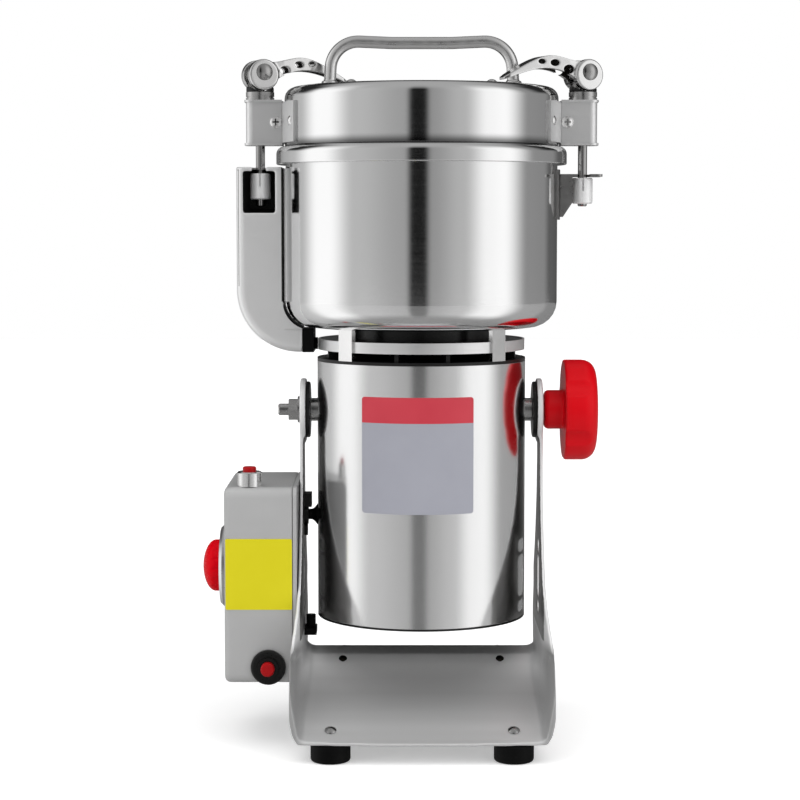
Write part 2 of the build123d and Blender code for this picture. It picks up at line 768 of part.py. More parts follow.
def make_clamp_screws():
    """Cross-head screws through the box and the rivets of its strap, for the right side."""
    mid_z = (box_z0 + box_z1) / 2 + 0.2
    screw_x = rod_x - 8.9
    pieces = []
    for side in (-1, 1):
        head = Pos(screw_x, side * box_half_y, mid_z) * Rot(90 * -side, 0, 0) * pan_head(3.3, 1.7)
        cross = Box(3.6, 0.8, 1.6) + Box(0.8, 3.6, 1.6)
        head -= Pos(screw_x, side * (box_half_y + 1.9), mid_z) * Rot(90, 0, 0) * cross
        pieces.append(head)
        angle = side * 21.8
        rivet = Rot(0, 0, angle) * Pos(strap_r, 0, mid_z) * Rot(0, 90, 0) * pan_head(2.6, 1.1)
        pieces.append(rivet)
    return pieces


def make_washer():
    cup = ring_z(washer_r, rod_r + loose_fit, box_z1, box_z1 + washer_h, rod_x)
    groove = ring_z(washer_r + 1, washer_r - 0.5, box_z1 + 1.4, box_z1 + 2.0, rod_x)
    return cup - groove - cyl_z(washer_r - 1.0, saddle_bottom_z, pin_z, rod_x)


def make_saddle(yaw):
    """Plastic seat with a trough for the lever's cam, let into the cup washer."""
    body = cyl_z(washer_r - 1.0, saddle_bottom_z, box_z1 + washer_h)
    body += cyl_z(washer_r - 0.2, box_z1 + washer_h, trough_z + 3.4)
    body -= cyl_y(trough_r, -20, 20, 0, trough_z + trough_r)
    return Pos(rod_x, 0, 0) * Rot(0, 0, yaw) * (body - cyl_z(rod_r + loose_fit, box_z1, pin_z))


def make_rod(yaw):
    """Threaded rod with a flat eye at its top and the cross pin pressed in."""
    eye = cyl_y(5.4, -eye_t / 2, eye_t / 2, 0, pin_z)
    stem = cyl_z(rod_r, rod_end_z, pin_z - 3)
    stem = chamfer(stem.edges().group_by(Axis.Z)[0], 0.5)
    return Pos(rod_x, 0, 0) * Rot(0, 0, yaw) * (stem + eye - cyl_y(pin_r, -9, 9, 0, pin_z))


def make_pin(yaw):
    length = lever_w / 2 + move_gap
    pin = cyl_y(pin_r, -length, length, 0, 0)
    for side in (-1, 1):
        head = Pos(0, side * length, 0) * Rot(-90 * side, 0, 0) * pan_head(4.5, 1.5)
        pin += head
    return Pos(rod_x, 0, pin_z) * Rot(0, 0, yaw) * pin


def make_rod_nut(nut_top_z):
    nut = cyl_z(rod_nut_r, nut_top_z - rod_nut_h, nut_top_z, rod_x)
    nut = chamfer(nut.edges().group_by(Axis.Z)[0], 0.6)
    nut = chamfer(nut.edges().group_by(Axis.Z)[-1], 0.6)
    nut -= block(rod_x - 0.5, rod_x + 0.5, -7, -rod_r - 0.6, nut_top_z - 7, nut_top_z + 1)
    return nut - cyl_z(rod_r, nut_top_z - rod_nut_h - 1, nut_top_z + 1, rod_x)


def make_lever(yaw):
    """Cast cam lever: two round cheeks, a bowed arm that is hollow below, and three oval holes."""
    length = lever_reach
    arm_outline = make_face(Curve() + [
        Spline((-2.0, 6.4), (9.0, 6.0), (22.0, 8.4), (36.0, 4.2), (length, -3.6)),
        Line((length, -3.6), (length, -5.2)),
        Spline((length, -5.2), (37.0, -0.6), (25.0, 1.4), (12.0, -1.4), (4.0, -7.4)),
        Line((4.0, -7.4), (-2.0, 6.4)),
    ])
    arm = extrude(Plane.XZ * arm_outline, lever_w / 2 - 1.5, both=True)
    taper = make_face(Polyline((-4, -8), (10, -6.6), (length - 3, -4.4), (length + 1, -2.2), (length + 1, 2.2),
                               (length - 3, 4.4), (10, 6.6), (-4, 8), close=True))
    arm = arm & (Pos(0, 0, -20) * extrude(taper, 40))
    hollow = extrude(Plane.XZ * make_face(Curve() + [
        Spline((7.0, 2.4), (15.0, 3.6), (24.0, 5.6), (35.0, 2.2), (44.0, -2.8)),
        Line((44.0, -2.8), (44.0, -12.0)),
        Line((44.0, -12.0), (7.0, -12.0)),
        Line((7.0, -12.0), (7.0, 2.4)),
    ]), 3.0, both=True)
    hub = cyl_y(hub_r, -lever_w / 2, lever_w / 2, 0, -cam_offset)
    hub = chamfer(hub.edges().filter_by(GeomType.CIRCLE), 0.7)
    lever = hub + arm - hollow
    lever -= block(-14, 7.0, -eye_t / 2 - 0.4, eye_t / 2 + 0.4, -14, 14)
    for x, z, a, b in ((12.3, 1.2, 3.0, 2.3), (20.6, 4.5, 2.6, 1.7), (28.3, 5.0, 2.1, 1.3)):
        oval = Plane.XZ * Pos(x, z) * Ellipse(a, b)
        lever -= extrude(oval, 12, both=True)
    lever -= cyl_y(pin_r + run_fit, -20, 20, 0, 0)
    return Pos(rod_x, 0, pin_z) * Rot(0, 0, yaw) * lever


def make_hook():
    """Right-hand hook bracket on the bowl: slotted top plate on two gussets and a base plate."""
    inner = bowl_r
    z0, z1 = hook_z1 - 24.6, rim_z0 - 2.8
    nose = rod_x - rod_nut_r - 0.6
    slot_r = rod_r + 1.0
    top = block(inner + 1.0, rod_x + 10.1, -12, 12, hook_z1 - hook_t, hook_z1)
    top = fillet(top.edges().filter_by(Axis.Z).group_by(Axis.X)[-1], 2.5)
    top -= cyl_z(slot_r, z0, z1 + 9, rod_x)
    top -= block(rod_x - slot_r, rod_x + slot_r, -20, 0, z0, z1 + 9)
    side = make_face(Polyline((inner + 1.0, z0 + 1.5), (inner + 2.4, z0 + 1.5), (nose, z0 + 9.4),
                              (nose, hook_z1 - 0.4), (inner + 1.0, hook_z1 - 0.4), close=True))
    hook = top
    for y in (-12, 10.6):
        hook += Pos(0, y + 1.4, 0) * extrude(Plane.XZ * side, 1.4)
    base = ring_z(inner + 1.5, inner, z0, z1) & sector(13.0, inner, z0, z1)
    return hook - cyl_z(inner, z0 - 4, z1 + 4) + base


def make_left_plate():
    z0, z1 = bowl_bottom_z + bowl_corner_r + 0.2, rim_z0 - 2.3
    return ring_z(bowl_r + 1.5, bowl_r, z0, z1) & sector(16.0, bowl_r, z0, z1)


def at_left(shape):
    """Turns a right-hand clamp piece half a turn about Z."""
    return Rot(0, 0, 180) * shape


# ---------------------------------------------------------------- switch casing
def casing_outline(grow):
    """Side outline of the elbow, grown outwards (or inwards if negative)."""
    out, inn = -casing_out_x - grow, -casing_in_x + grow
    top, low = casing_top_z + grow, casing_bottom_z - grow
    end = -casing_end_x + (0 if grow >= 0 else 1)
    bend = 34.0
    inner_r = 11.0
    inner_low = mouth_z + 1.4 + grow
    return make_face(Curve() + [
        Line((out, top), (out, low + bend)),
        RadiusArc((out, low + bend), (out + bend, low), -bend),
        Line((out + bend, low), (end, low)),
        Line((end, low), (end, inner_low)),
        Line((end, inner_low), (inn + inner_r * 0.6, inner_low)),
        RadiusArc((inn + inner_r * 0.6, inner_low), (inn, inner_low + inner_r * 0.9), inner_r),
        Line((inn, inner_low + inner_r * 0.9), (inn, top)),
        Line((inn, top), (out, top)),
    ])


def make_switch_casing():
    """Deep-drawn elbow that covers the lid switch and its wiring, with a window for the rod nut."""
    depth = casing_back_y - casing_front_y
    start = Plane.XZ.offset(-casing_back_y)
    body = extrude(start * casing_outline(0), depth)
    soft = [e for e in body.edges().group_by(Axis.Y)[0] + body.edges().group_by(Axis.Y)[-1]
            if e.center().X < -casing_out_x + 12 and e.center().Z < casing_top_z - 2]
    body = fillet(soft, casing_round)
    inside = extrude(Plane.XZ.offset(-casing_back_y + casing_wall) * casing_outline(-casing_wall),
                     depth - 2 * casing_wall)
    top = casing_top_z
    slot_r = rod_r + 1.2
    casing = body - inside - cyl_z(bowl_r + 1.5, bowl_bottom_z - 0.8, top + 9)
    window_y = casing_front_y + casing_wall + 4.0
    casing -= block(-rod_x - 8.8, -rod_x + 8.6, casing_front_y - 1, window_y, top - 24.6, top - 2.2)
    casing -= cyl_z(slot_r, top - 9, top + 9, -rod_x)
    casing -= block(-rod_x - slot_r, -rod_x + slot_r, casing_front_y - 1, 0, top - 3.4, top + 9)
    end = -casing_end_x
    return casing - block(end - 4, end + 4, casing_front_y + 2, casing_back_y - 2, casing_bottom_z + 2, mouth_z)


def make_casing_end():
    """Black plug in the elbow's end, with the grommet that leads the wires to the barrel."""
    x0, x1 = -casing_end_x, -(barrel_r + 1.6)
    z = casing_bottom_z
    plug = block(x0 - 2.8, x1, casing_front_y + 2, casing_back_y - 2, z + 2, mouth_z - 0.6)
    plate = block(x0, x1, casing_front_y + 0.6, casing_back_y - 0.6, z, mouth_z + 0.6)
    grommet = cyl_x(3.3, x1, -vent_ring_r - 0.3, 2, z + 4.2)
    bore = cyl_x(1.6, x0 - 5, -50, 2, z + 4.2)
    return plug + plate + grommet - bore


plunger_travel = 1.0


def make_safety_switch():
    z = switch_z
    body = block(-rod_x - 6.7, -rod_x + 6.7, 9.0, casing_back_y - casing_wall, z - 11, z + 6)
    body -= cyl_y(1.4, 8, 12.5, -rod_x, z)
    return body


def make_switch_plunger():
    return cyl_y(1.4 - run_fit, rod_nut_r + move_gap, 11.0, -rod_x, switch_z)


# ---------------------------------------------------------------- control box
def make_control_box():
    """Moulded box, open at its inner side, with holes for the timer, switch, breaker and gland."""
    box = block(cbox_x0, cbox_x1 - 2.0, cbox_y0, cbox_y1, cbox_z0, cbox_z1)
    box = fillet(box.edges().filter_by(Axis.X), cbox_round)
    box = fillet(box.edges().group_by(Axis.X)[0], 3.0)
    inside = block(cbox_x0 + cbox_wall, cbox_x1, cbox_y0 + cbox_wall, cbox_y1 - cbox_wall, cbox_z0 + cbox_wall,
                   cbox_z1 - cbox_wall)
    inside = fillet(inside.edges().filter_by(Axis.X), cbox_round - cbox_wall)
    box -= inside
    box -= cyl_x(7.0, cbox_x0 - 1, cbox_x0 + 6, 0, timer_z)
    box -= cyl_z(5.0, cbox_z1 - 6, cbox_z1 + 1, power_x, power_y)
    box -= cyl_y(6.5, cbox_y0 - 1, cbox_y0 + 6, reset_x, reset_z)
    return box - cyl_y(5.0, cbox_y1 - 6, cbox_y1 + 1, gland_x, gland_z)


def make_control_cover():
    """Flat cover between the box and the upright, notched round the stand's flared corners."""
    cover = block(cbox_x1 - 2.0, cbox_x1, cbox_y0, cbox_y1, cbox_z0, cbox_z1)
    cover = fillet(cover.edges().filter_by(Axis.X), cbox_round)
    return cover - cyl_x(4.5, cbox_x1 - 3, cbox_x1 + 1, 0, lead_z)


def make_timer():
    body = block(cbox_x0 + cbox_wall, cbox_x0 + 26, -18, 18, timer_z - 18, timer_z + 18)
    bushing = cyl_x(7.0, cbox_x0, cbox_x0 + cbox_wall, 0, timer_z)
    spindle = cyl_x(3.0, timer_knob_x + 3.8, cbox_x0, 0, timer_z)
    disc = cyl_x(timer_disc_r, cbox_x0 - timer_disc_t, cbox_x0, 0, timer_z)
    disc = chamfer(disc.edges().group_by(Axis.X)[0], 1.6) - cyl_x(4.0, cbox_x0 - 8, cbox_x0 + 1, 0, timer_z)
    return body + bushing + spindle, disc


def make_timer_knob():
    """Red domed knob on the timer's spindle, fluted round its skirt."""
    x1 = cbox_x0 - timer_disc_t - move_gap
    depth = x1 - timer_knob_x
    skirt = 2.6
    round_k = 0.5523
    dome = lathe(
        Line((0, 0), (timer_knob_r, 0)),
        Line((timer_knob_r, 0), (timer_knob_r, skirt)),
        Bezier((timer_knob_r, skirt), (timer_knob_r, skirt + round_k * (depth - skirt)),
               (round_k * timer_knob_r, depth), (0, depth)),
        Line((0, depth), (0, 0)),
    )
    for i in range(16):
        angle = i * pi / 8
        reach = timer_knob_r + 0.9
        dome -= cyl_z(1.4, -1, depth, reach * cos(angle), reach * sin(angle))
    dome -= cyl_z(3.0 + run_fit, -1, depth - 3.4)
    return Pos(x1, 0, timer_z) * Rot(0, -90, 0) * dome


reset_travel = 2.0
power_travel = 2.0


def make_breaker():
    """Overload breaker: body inside the box, round black collar outside."""
    body = cyl_y(6.5, cbox_y0, cbox_y0 + 26, reset_x, reset_z)
    collar = cyl_y(9.4, cbox_y0 - 3.2, cbox_y0, reset_x, reset_z)
    collar = fillet(collar.edges().group_by(Axis.Y)[0], 1.4)
    neck = cyl_y(5.6, cbox_y0 - 5.2, cbox_y0 - 3.0, reset_x, reset_z)
    return body + collar + neck - cyl_y(3.8, cbox_y0 - 8, cbox_y0 + 8, reset_x, reset_z)


def make_reset_button():
    button = cyl_y(3.8 - run_fit, cbox_y0 - 9.0, cbox_y0 + 5.0, reset_x, reset_z)
    return fillet(button.edges().group_by(Axis.Y)[0], 1.0)


def make_power_switch():
    z = cbox_z1
    barrel = cyl_z(6.7, z, z + 7.8, power_x, power_y)
    barrel = chamfer(barrel.edges().group_by(Axis.Z)[-1], 0.6)
    body = cyl_z(5.0, z - 20, z, power_x, power_y)
    return barrel + body - cyl_z(3.7, z - 4, z + 10, power_x, power_y)


def make_power_button():
    z = cbox_z1
    button = cyl_z(3.7 - run_fit, z - 1.0, z + 10.4, power_x, power_y)
    return fillet(button.edges().group_by(Axis.Z)[-1], 0.9)


def make_mains_gland():
    """Inlet gland for the mains lead, low on the box's rear face."""
    nut = Pos(gland_x, cbox_y1, gland_z) * Rot(-90, 0, 0) * hex_z(15, 0, 4.5)
    cone = Pos(gland_x, cbox_y1 + 4.5 + 5, gland_z) * Rot(-90, 0, 0) * Cone(5.6, 4.4, 10)
    body = cyl_y(5.0, cbox_y1 - 6, cbox_y1 + 2, gland_x, gland_z)
    return body + nut + cone - cyl_y(3.4, cbox_y1 - 8, cbox_y1 + 20, gland_x, gland_z)


def make_lead_gland():
    """Block and gland on the left upright, where the motor lead passes into the control box."""
    x = -upright_x
    plate = block(x, x + 4.0, -5, 5, lead_z + 4.5, lead_z + 12.0)
    gland = ring_x(5.4, lead_r + loose_fit, x, x + 2.2, 0, lead_z)
    clip = ring_x(3.4, 1.2, x, x + 1.8, 0, lead_z - 8.4)
    return plate + gland + clip


def make_motor_lead():
    """Short lead from the control box to the barrel, with its flared boot at the barrel."""
    x_out, x_in = -(upright_x + sheet + 1.5), -(barrel_r - barrel_wall - 2.0)
    lead = cyl_x(lead_r, x_out, x_in, 0, lead_z)
    boot = Pos(-barrel_r - 1.4, 0, lead_z) * Rot(0, 90, 0) * Cone(3.3, 5.8, 2.8)
    return boot - cyl_z(barrel_r, 100, 150) + lead


def build():
    os.makedirs("parts", exist_ok=True)
    # stand body
    save("stand", make_stand())
    save("feet", *make_feet())
    save("base_screws", *make_base_screws())
    save("tilt_stop", make_tilt_stop())
    save("friction_washers", *make_friction_washers())
    save("lead_gland", make_lead_gland())
    save("control_box", make_control_box())
    save("control_box_cover", make_control_cover())
    timer_body, timer_disc = make_timer()
    save("timer_body", timer_body)
    save("timer_dial", timer_disc)
    save("timer_knob", make_timer_knob())
    save("overload_breaker", make_breaker())
    save("reset_button", make_reset_button())
    save("power_switch", make_power_switch())
    save("power_button", make_power_button())
    save("mains_gland", make_mains_gland())
    # barrel body
    save("barrel_shell", make_barrel_shell())
    save("barrel_bottom", make_barrel_bottom())
    save("trunnions", *make_trunnions())
    save("pivot_bolt", *make_pivot_stud())
    save("lock_knob", make_lock_knob())
    save("lock_stud", make_lock_stud())
    save("motor_lead", make_motor_lead())
    save("stator_core", make_stator())
    save("field_coils", *make_field_coils())
    save("lower_bracket", make_lower_bracket())
    save("upper_bracket", make_upper_bracket())
    save("bearings", *make_bearings())
    holders, brushes = make_brush_gear()
    save("brush_holders", *holders)
    save("carbon_brushes", *brushes)
    save("vent_ring", make_vent_ring())
    save("support_posts", *make_posts())
    # rotor
    save("shaft", make_shaft())
    save("armature", make_armature())
    save("commutator", make_commutator())
    save("fan", make_fan())
    save("blades", *make_blades())
    save("blade_hub", *make_blade_hub())
    # bowl and lid
    save("bowl", make_bowl())
    save("bowl_rim", make_bowl_rim())
    save("shaft_seal", make_shaft_seal())
    save("lid", make_lid())
    save("lid_gasket", make_lid_gasket())
    save("handle", make_handle())
    # clamps
    strap = make_strap()
    clamp_box = make_clamp_box()
    screws = make_clamp_screws()
    washer = make_washer()
    save("clamp_straps", strap, at_left(strap))
    save("clamp_boxes", clamp_box, at_left(clamp_box))
    save("clamp_screws", *screws, *[at_left(s) for s in screws])
    save("clamp_washers", washer, at_left(washer))
    save("clamp_saddles", make_saddle(180 + right_yaw), at_left(make_saddle(180 + left_yaw)))
    save("hook_brackets", make_hook(), at_left(make_left_plate()))
    save("right_rod", make_rod(180 + right_yaw), make_pin(180 + right_yaw))
    save("right_nut", make_rod_nut(right_nut_z))
    save("right_lever", make_lever(180 + right_yaw))
    save("left_rod", at_left(make_rod(180 + left_yaw)), at_left(make_pin(180 + left_yaw)))
    save("left_nut", Pos(-2 * rod_x, 0, 0) * make_rod_nut(left_nut_z))
    save("left_lever", at_left(make_lever(180 + left_yaw)))
    # lid interlock
    save("switch_casing", make_switch_casing())
    save("casing_end", make_casing_end())
    save("safety_switch", make_safety_switch())
    save("switch_plunger", make_switch_plunger())


build()
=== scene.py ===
import json
import math
import bmesh
import bpy
from mathutils import Matrix, Vector


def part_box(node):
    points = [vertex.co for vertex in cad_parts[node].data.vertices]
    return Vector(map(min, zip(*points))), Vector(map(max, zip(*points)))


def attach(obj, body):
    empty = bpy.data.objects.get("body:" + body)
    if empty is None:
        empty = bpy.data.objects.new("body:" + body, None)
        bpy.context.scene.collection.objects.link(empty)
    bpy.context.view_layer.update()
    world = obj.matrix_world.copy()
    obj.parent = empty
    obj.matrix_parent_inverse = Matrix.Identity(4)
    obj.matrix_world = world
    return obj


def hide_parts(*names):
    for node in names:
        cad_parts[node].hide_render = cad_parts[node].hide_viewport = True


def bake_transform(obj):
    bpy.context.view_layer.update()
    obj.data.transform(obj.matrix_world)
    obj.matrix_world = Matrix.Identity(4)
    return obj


# The look of a swing-type grain mill round its CAD pieces: polished and brushed steel, cast nickel, paint,
# rubber and plastics, in a pale studio. Shapes are in millimetres, materials and the studio in metres.
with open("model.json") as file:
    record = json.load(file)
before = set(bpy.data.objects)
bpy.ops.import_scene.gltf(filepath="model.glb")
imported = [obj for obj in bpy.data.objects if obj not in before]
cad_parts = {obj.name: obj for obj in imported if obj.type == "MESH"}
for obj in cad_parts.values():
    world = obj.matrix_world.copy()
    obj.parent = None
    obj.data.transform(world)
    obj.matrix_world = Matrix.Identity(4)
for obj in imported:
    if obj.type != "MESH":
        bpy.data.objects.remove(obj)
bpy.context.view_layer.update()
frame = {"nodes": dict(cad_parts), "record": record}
nodes = frame["nodes"]
scene = bpy.context.scene
scene.view_settings.view_transform = "Standard"
MM = 0.001

SLOT = {row["node"]: row["material_slot"] for row in frame["record"]["subparts"]}
BODY = {node: body for body, names in frame["record"]["behaviour"]["bodies"].items() for node in names}
M = {}                       # every material by its name


def box_mm(node):
    """A node's lowest and highest corners in millimetres."""
    low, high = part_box(node)
    return Vector(low) / MM, Vector(high) / MM


# ---------------------------------------------------------------- materials
class Shader:
    """A small builder for node materials. Positions are the object coordinates, in metres."""

    def __init__(self, name):
        self.mat = bpy.data.materials.new(name)
        self.mat.use_nodes = True
        self.tree = self.mat.node_tree
        self.tree.nodes.clear()
        self.out = self.node("ShaderNodeOutputMaterial")
        self.bsdf = self.node("ShaderNodeBsdfPrincipled")
        self.link(self.bsdf.outputs[0], self.out.inputs["Surface"])
        self.coord = self.node("ShaderNodeTexCoord").outputs["Object"]
        M[name] = self.mat

    def node(self, kind, **settings):
        n = self.tree.nodes.new(kind)
        for key, value in settings.items():
            setattr(n, key, value)
        return n

    def link(self, a, b):
        self.tree.links.new(a, b)

    def set(self, **values):
        for key, value in values.items():
            self.bsdf.inputs[key.replace("_", " ")].default_value = value

    def axis(self, letter):
        """The position along X, Y or Z."""
        split = self.node("ShaderNodeSeparateXYZ")
        self.link(self.coord, split.inputs[0])
        return split.outputs[letter]

    def noise(self, scale, detail=3.0, stretch=(1, 1, 1)):
        m = self.node("ShaderNodeMapping")
        m.inputs["Scale"].default_value = stretch
        self.link(self.coord, m.inputs["Vector"])
        n = self.node("ShaderNodeTexNoise")
        n.inputs["Scale"].default_value = scale
        n.inputs["Detail"].default_value = detail
        n.inputs["Roughness"].default_value = 0.55
        self.link(m.outputs[0], n.inputs["Vector"])
        return n.outputs["Fac"]

    def span(self, value, lo, hi, a=0.3, b=0.7, curve="LINEAR"):
        """Goes from lo to hi as the value goes from a to b."""
        m = self.node("ShaderNodeMapRange", interpolation_type=curve)
        m.inputs["From Min"].default_value = a
        m.inputs["From Max"].default_value = b
        m.inputs["To Min"].default_value = lo
        m.inputs["To Max"].default_value = hi
        self.link(value, m.inputs["Value"])
        return m.outputs[0]

    def tint(self, value, low, high, a=0.3, b=0.7):
        """Goes from one colour to another as the value goes from a to b."""
        r = self.node("ShaderNodeValToRGB")
        r.color_ramp.elements[0].position = a
        r.color_ramp.elements[0].color = (*low, 1)
        r.color_ramp.elements[1].position = b
        r.color_ramp.elements[1].color = (*high, 1)
        self.link(value, r.inputs["Fac"])
        return r.outputs["Color"]

    def mixed(self, share, a, b):
        """Mixes from a, a colour or a socket, to the socket b."""
        m = self.node("ShaderNodeMix", data_type="RGBA")
        self.link(share, m.inputs["Factor"])
        if isinstance(a, tuple):
            m.inputs["A"].default_value = (*a, 1)
        else:
            self.link(a, m.inputs["A"])
        self.link(b, m.inputs["B"])
        return m.outputs["Result"]

    def color(self, socket):
        self.link(socket, self.bsdf.inputs["Base Color"])

    def rough(self, value, lo, hi):
        self.link(self.span(value, lo, hi), self.bsdf.inputs["Roughness"])

    def bump(self, value, strength, distance):
        b = self.node("ShaderNodeBump")
        b.inputs["Strength"].default_value = strength
        b.inputs["Distance"].default_value = distance
        self.link(value, b.inputs["Height"])
        self.link(b.outputs[0], self.bsdf.inputs["Normal"])


def grey(v, warm=0.0):
    return (v + warm, v, v - warm)


def color_ramp(node, stops):
    """Sets a ramp's stops, given as (position, grey level) in rising order."""
    elements = node.color_ramp.elements
    for i, (at, level) in enumerate(stops):
        stop = elements[i] if i < 1 else elements.new(at) if i < len(stops) - 1 else elements[len(elements) - 1]
        stop.position = at
        stop.color = (*grey(level), 1)


def turned_steel(name, tone, rough, fade=None):
    """Sheet polished on a lathe: clear reflections, with faint rings of polishing round Z in the gloss.
    A fade (low, high, share) darkens it towards its lower edge: painted shade, for the dark reflection of the
    crevice above the rim."""
    s = Shader(name)
    s.set(Metallic=1.0)
    sheen = s.tint(s.noise(9.0, 2.0), grey(tone - 0.015), grey(tone + 0.015))
    if fade:
        low, high, share = fade
        # painted shade: darker towards the lower edge
        sheen = s.mixed(s.span(s.axis("Z"), 0.0, 1.0, low, high, "SMOOTHSTEP"), grey(tone * share), sheen)
    s.color(sheen)
    s.rough(s.noise(1.0, 4.0, (20, 20, 2200)), rough - 0.02, rough + 0.025)


def sheet_steel(name, tone, rough, grain=(60, 60, 900), metal=1.0, warm=0.0):
    """Satin sheet with a fine brushed grain."""
    s = Shader(name)
    s.set(Metallic=metal)
    lines = s.noise(1.0, 4.0, grain)
    s.color(s.tint(s.noise(14.0), grey(tone - 0.02, warm), grey(tone + 0.02, warm)))
    s.rough(lines, rough - 0.03, rough + 0.03)
    s.bump(lines, 0.02, 0.00001)


def cast_nickel(name, tone, rough, pits=0.06):
    """Plated casting, with the slight waviness of polished castings."""
    s = Shader(name)
    s.set(Metallic=1.0)
    waves = s.noise(240.0, 2.0)
    s.color(s.tint(s.noise(60.0), grey(tone - 0.04, 0.004), grey(tone + 0.02, 0.004)))
    s.rough(waves, rough - 0.04, rough + 0.06)
    s.bump(waves, pits, 0.00005)


def plastic(name, low, high, rough, grain=900.0, depth=0.06, shine=0.5):
    """Plastic, rubber, paint or foil, from one colour to the other in soft patches."""
    s = Shader(name)
    s.set(Specular_IOR_Level=shine)
    pores = s.noise(grain)
    s.color(s.tint(s.noise(30.0), low, high))
    s.rough(pores, rough - 0.04, rough + 0.05)
    s.bump(pores, depth, 0.00003)


# The aprons' painted light and shade by height, standing in for the satin sheet's reflections: deepest halfway
# up their curve, palest at the ridge.
APRON_PAINTED_LIGHT = ((0.0125, 0.64), (0.0175, 0.62), (0.024, 0.50), (0.030, 0.46), (0.036, 0.62), (0.042, 0.94))
APRON_TOP = 0.05
UPRIGHT_FROM, UPRIGHT_FULL = 0.056, 0.062    # heights between which the base's tone turns into the uprights'
SIDE_FROM, SIDE_FULL = 0.0615, 0.0665        # the same from the aprons to the side panels, outwards


def stand_sheet(name):
    """Satin sheet of the stand, with painted light and shade: painted light makes it brighter and whiter up its
    uprights, painted shade makes it deeper in tone in the pressed base.
    """
    s = Shader(name)
    tone = s.noise(14.0)
    height = s.axis("Z")
    out = s.node("ShaderNodeMath", operation="ABSOLUTE")
    s.link(s.axis("X"), out.inputs[0])
    up = s.span(height, 0.0, 1.0, UPRIGHT_FROM, UPRIGHT_FULL)
    side = s.span(out.outputs[0], 0.0, 1.0, SIDE_FROM, SIDE_FULL)
    apron = s.node("ShaderNodeValToRGB")
    color_ramp(apron, [(z / APRON_TOP, level) for z, level in APRON_PAINTED_LIGHT])
    s.link(s.span(height, 0.0, 1.0, 0.0, APRON_TOP), apron.inputs["Fac"])
    # painted shade: the side panels darker, and the aprons' ramp of painted light and shade
    base = s.mixed(side, apron.outputs["Color"], s.tint(tone, grey(0.36), grey(0.40)))
    # painted light: the uprights brighter and whiter than the base
    s.color(s.mixed(up, base, s.tint(tone, grey(0.74), grey(0.78))))
    s.link(s.span(up, 0.5, 0.25, 0.0, 1.0), s.bsdf.inputs["Metallic"])
    lines = s.noise(1.0, 4.0, (18, 500, 500))
    s.rough(lines, 0.37, 0.43)
    s.bump(lines, 0.02, 0.00001)


turned_steel("polished_steel", 0.86, 0.10)
turned_steel("barrel_steel", 0.84, 0.17)
# the lid's lower edge gets painted shade, for the dark crevice it would mirror above the rim
turned_steel("lid_steel", 0.86, 0.10, fade=(0.3238, 0.3290, 0.2))
stand_sheet("stand_steel")
sheet_steel("brushed_steel", 0.80, 0.36, metal=0.8)
sheet_steel("casing_steel", 0.80, 0.34, metal=0.6)
# painted shade inside the casing and in its gap beside the bowl
sheet_steel("casing_shade", 0.05, 0.5)
sheet_steel("nut_steel", 0.86, 0.40, (300, 300, 900), metal=0.35)
sheet_steel("dial", 0.78, 0.3, (900, 60, 900))
sheet_steel("copper", 0.4, 0.4, (60, 60, 1800), warm=0.12)
cast_nickel("nickel", 0.80, 0.16)
cast_nickel("handle_steel", 0.84, 0.30, 0.02)
cast_nickel("rod_steel", 0.42, 0.16, 0.02)
cast_nickel("hook_steel", 0.40, 0.30, 0.0)
# painted shade on the uprights' inner faces
cast_nickel("stand_inner_shade", 0.30, 0.36, 0.0)
cast_nickel("zinc", 0.52, 0.24, 0.03)
cast_nickel("aluminium", 0.7, 0.45)
cast_nickel("iron", 0.2, 0.55)
# painted shade for the levers' hollows and holes
cast_nickel("lever_shade", 0.06, 0.6)
cast_nickel("dark_screw", 0.05, 0.35)
plastic("box_paint", grey(0.365), grey(0.395), 0.34, grain=1400, shine=0.4)
plastic("black_rubber", grey(0.002), grey(0.004), 0.5, grain=700, depth=0.2, shine=0.08)
plastic("black_plastic", grey(0.005), grey(0.008), 0.3, shine=0.3)
plastic("silicone", grey(0.6), grey(0.7), 0.5)
plastic("carbon", grey(0.02), grey(0.05), 0.6)
plastic("red_plastic", (0.58, 0.0005, 0.005), (0.63, 0.001, 0.007), 0.25, shine=0.05)
plastic("knob_red", (0.57, 0.0005, 0.005), (0.62, 0.001, 0.007), 0.34, shine=0.14)
plastic("button_red", (0.33, 0.002, 0.004), (0.37, 0.003, 0.005), 0.3, shine=0.2)
plastic("label_silver", (0.31, 0.315, 0.36), (0.335, 0.34, 0.385), 0.38, grain=1600, shine=0.3)
plastic("label_red", (0.49, 0.036, 0.056), (0.53, 0.046, 0.066), 0.4, grain=1600, shine=0.3)
plastic("sticker", (0.61, 0.545, 0.008), (0.64, 0.575, 0.012), 0.5, grain=1600, shine=0.2)


# ---------------------------------------------------------------- mesh kit
TURN_STEPS = 240             # round a turned piece
ARC_STEPS = 6                # in a right angle of a rounded corner
PANEL_COLUMNS = 48           # along a plate


def place_mesh(name, mesh, mat, body=None, sharp=30):
    """An object from a mesh in metres: smooth between sharp edges, on its body and with its finish."""
    obj = bpy.data.objects.new(name, mesh)
    scene.collection.objects.link(obj)
    mesh.shade_smooth()
    if sharp:
        mesh.set_sharp_from_angle(angle=math.radians(sharp))
    mesh.materials.clear()
    mesh.materials.append(M[mat])
    if body:
        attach(obj, body)
    return obj


def from_bmesh(name, bm, mat, body=None, sharp=30, scale=MM):
    """As place_mesh, from a bmesh in millimetres or at another scale."""
    bmesh.ops.remove_doubles(bm, verts=bm.verts, dist=1e-5)
    bmesh.ops.recalc_face_normals(bm, faces=bm.faces)
    mesh = bpy.data.meshes.new(name)
    bm.to_mesh(mesh)
    bm.free()
    mesh.transform(Matrix.Scale(scale, 4))
    return place_mesh(name, mesh, mat, body, sharp)


